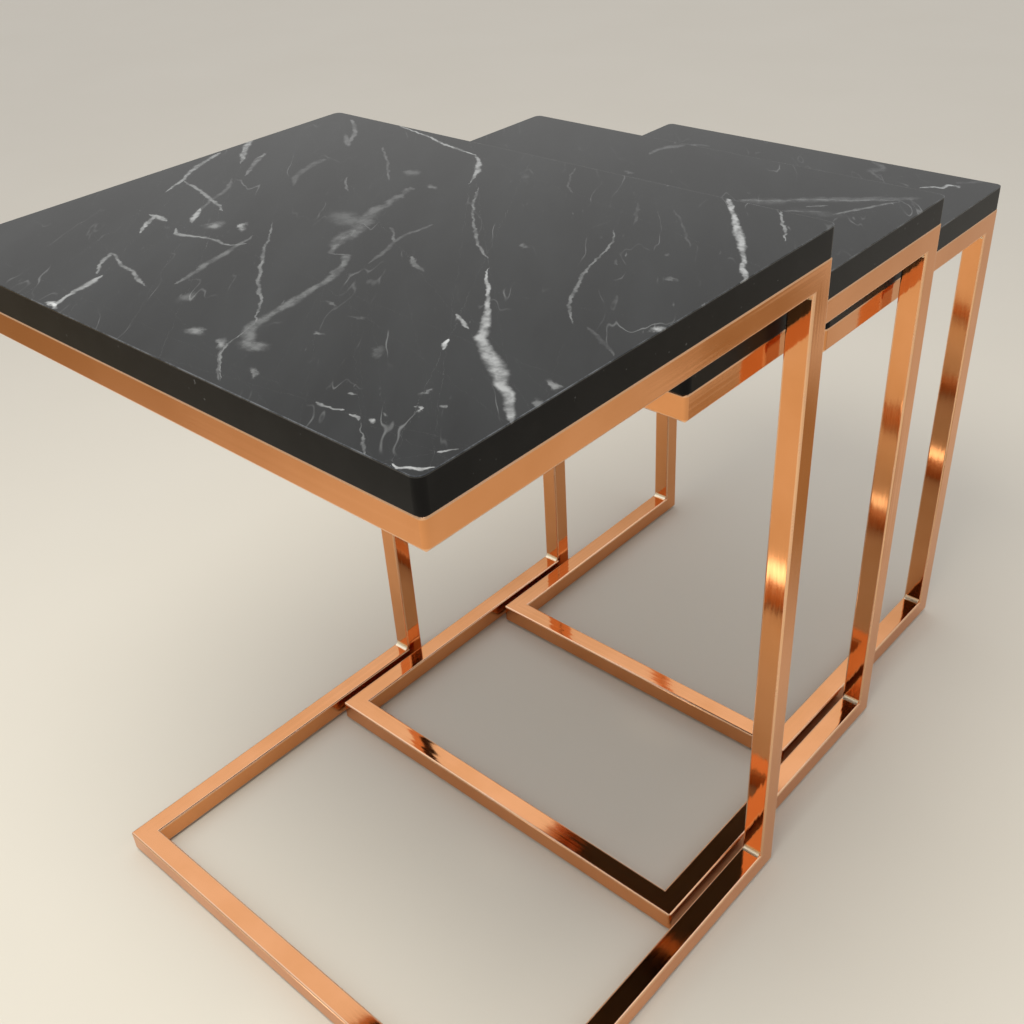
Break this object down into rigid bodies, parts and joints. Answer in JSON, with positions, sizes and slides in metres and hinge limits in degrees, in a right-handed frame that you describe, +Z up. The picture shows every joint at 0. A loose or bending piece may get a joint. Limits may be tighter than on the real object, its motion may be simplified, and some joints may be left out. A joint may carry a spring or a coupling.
{
  "type": "nesting tables",
  "caption": "Nesting side tables: C-shaped rose-gold square-tube frames with black marble-look tops, each sliding in under the next larger one.",
  "frame": {"origin": "on the floor, at the centre of the box round all three tables as they stand half drawn out", "axes": "+X across the tables, to the right as seen from the open front; +Y from the open front towards the legs, the way the smaller tables are drawn out; +Z up"},
  "size_m": [0.48, 0.795, 0.611],
  "materials": {
    "marble_face": "glossy black marble-look sheet with white and grey veins",
    "black_edging": "satin-gloss black edge band",
    "black_backer": "matt black balancing sheet",
    "board_core": "medium-density fibreboard",
    "rose_gold": "mirror-polished rose-gold plating on welded steel tube",
    "screw_steel": "zinc-plated",
    "pad_rubber": "black rubber"
  },
  "bodies": {
    "large_table": {"large_top_face": "marble_face", "large_top_core": "board_core", "large_top_backer": "black_backer", "large_top_edging": "black_edging", "large_apron_front": "rose_gold", "large_apron_back": "rose_gold", "large_apron_left": "rose_gold", "large_apron_right": "rose_gold", "large_leg_left": "rose_gold", "large_leg_right": "rose_gold", "large_base_front": "rose_gold", "large_base_left": "rose_gold", "large_base_right": "rose_gold", "large_weld_fillets": "rose_gold", "large_fixing_tabs": "rose_gold", "large_fixing_screws": "screw_steel", "large_floor_pads": "pad_rubber"},
    "medium_table": {"medium_top_face": "marble_face", "medium_top_core": "board_core", "medium_top_backer": "black_backer", "medium_top_edging": "black_edging", "medium_apron_front": "rose_gold", "medium_apron_back": "rose_gold", "medium_apron_left": "rose_gold", "medium_apron_right": "rose_gold", "medium_leg_left": "rose_gold", "medium_leg_right": "rose_gold", "medium_base_front": "rose_gold", "medium_base_left": "rose_gold", "medium_base_right": "rose_gold", "medium_weld_fillets": "rose_gold", "medium_fixing_tabs": "rose_gold", "medium_fixing_screws": "screw_steel", "medium_floor_pads": "pad_rubber"},
    "small_table": {"small_top_face": "marble_face", "small_top_core": "board_core", "small_top_backer": "black_backer", "small_top_edging": "black_edging", "small_apron_front": "rose_gold", "small_apron_back": "rose_gold", "small_apron_left": "rose_gold", "small_apron_right": "rose_gold", "small_leg_left": "rose_gold", "small_leg_right": "rose_gold", "small_base_front": "rose_gold", "small_base_left": "rose_gold", "small_base_right": "rose_gold", "small_weld_fillets": "rose_gold", "small_fixing_tabs": "rose_gold", "small_fixing_screws": "screw_steel", "small_floor_pads": "pad_rubber"}
  },
  "joints": [
    {"name": "medium_slide", "type": "slide", "parent": "large_table", "child": "medium_table", "axis": [0, 1, 0], "range_m": [-0.228, 0.15]},
    {"name": "small_slide", "type": "slide", "parent": "medium_table", "child": "small_table", "axis": [0, 1, 0], "range_m": [-0.207, 0.155]}
  ]
}
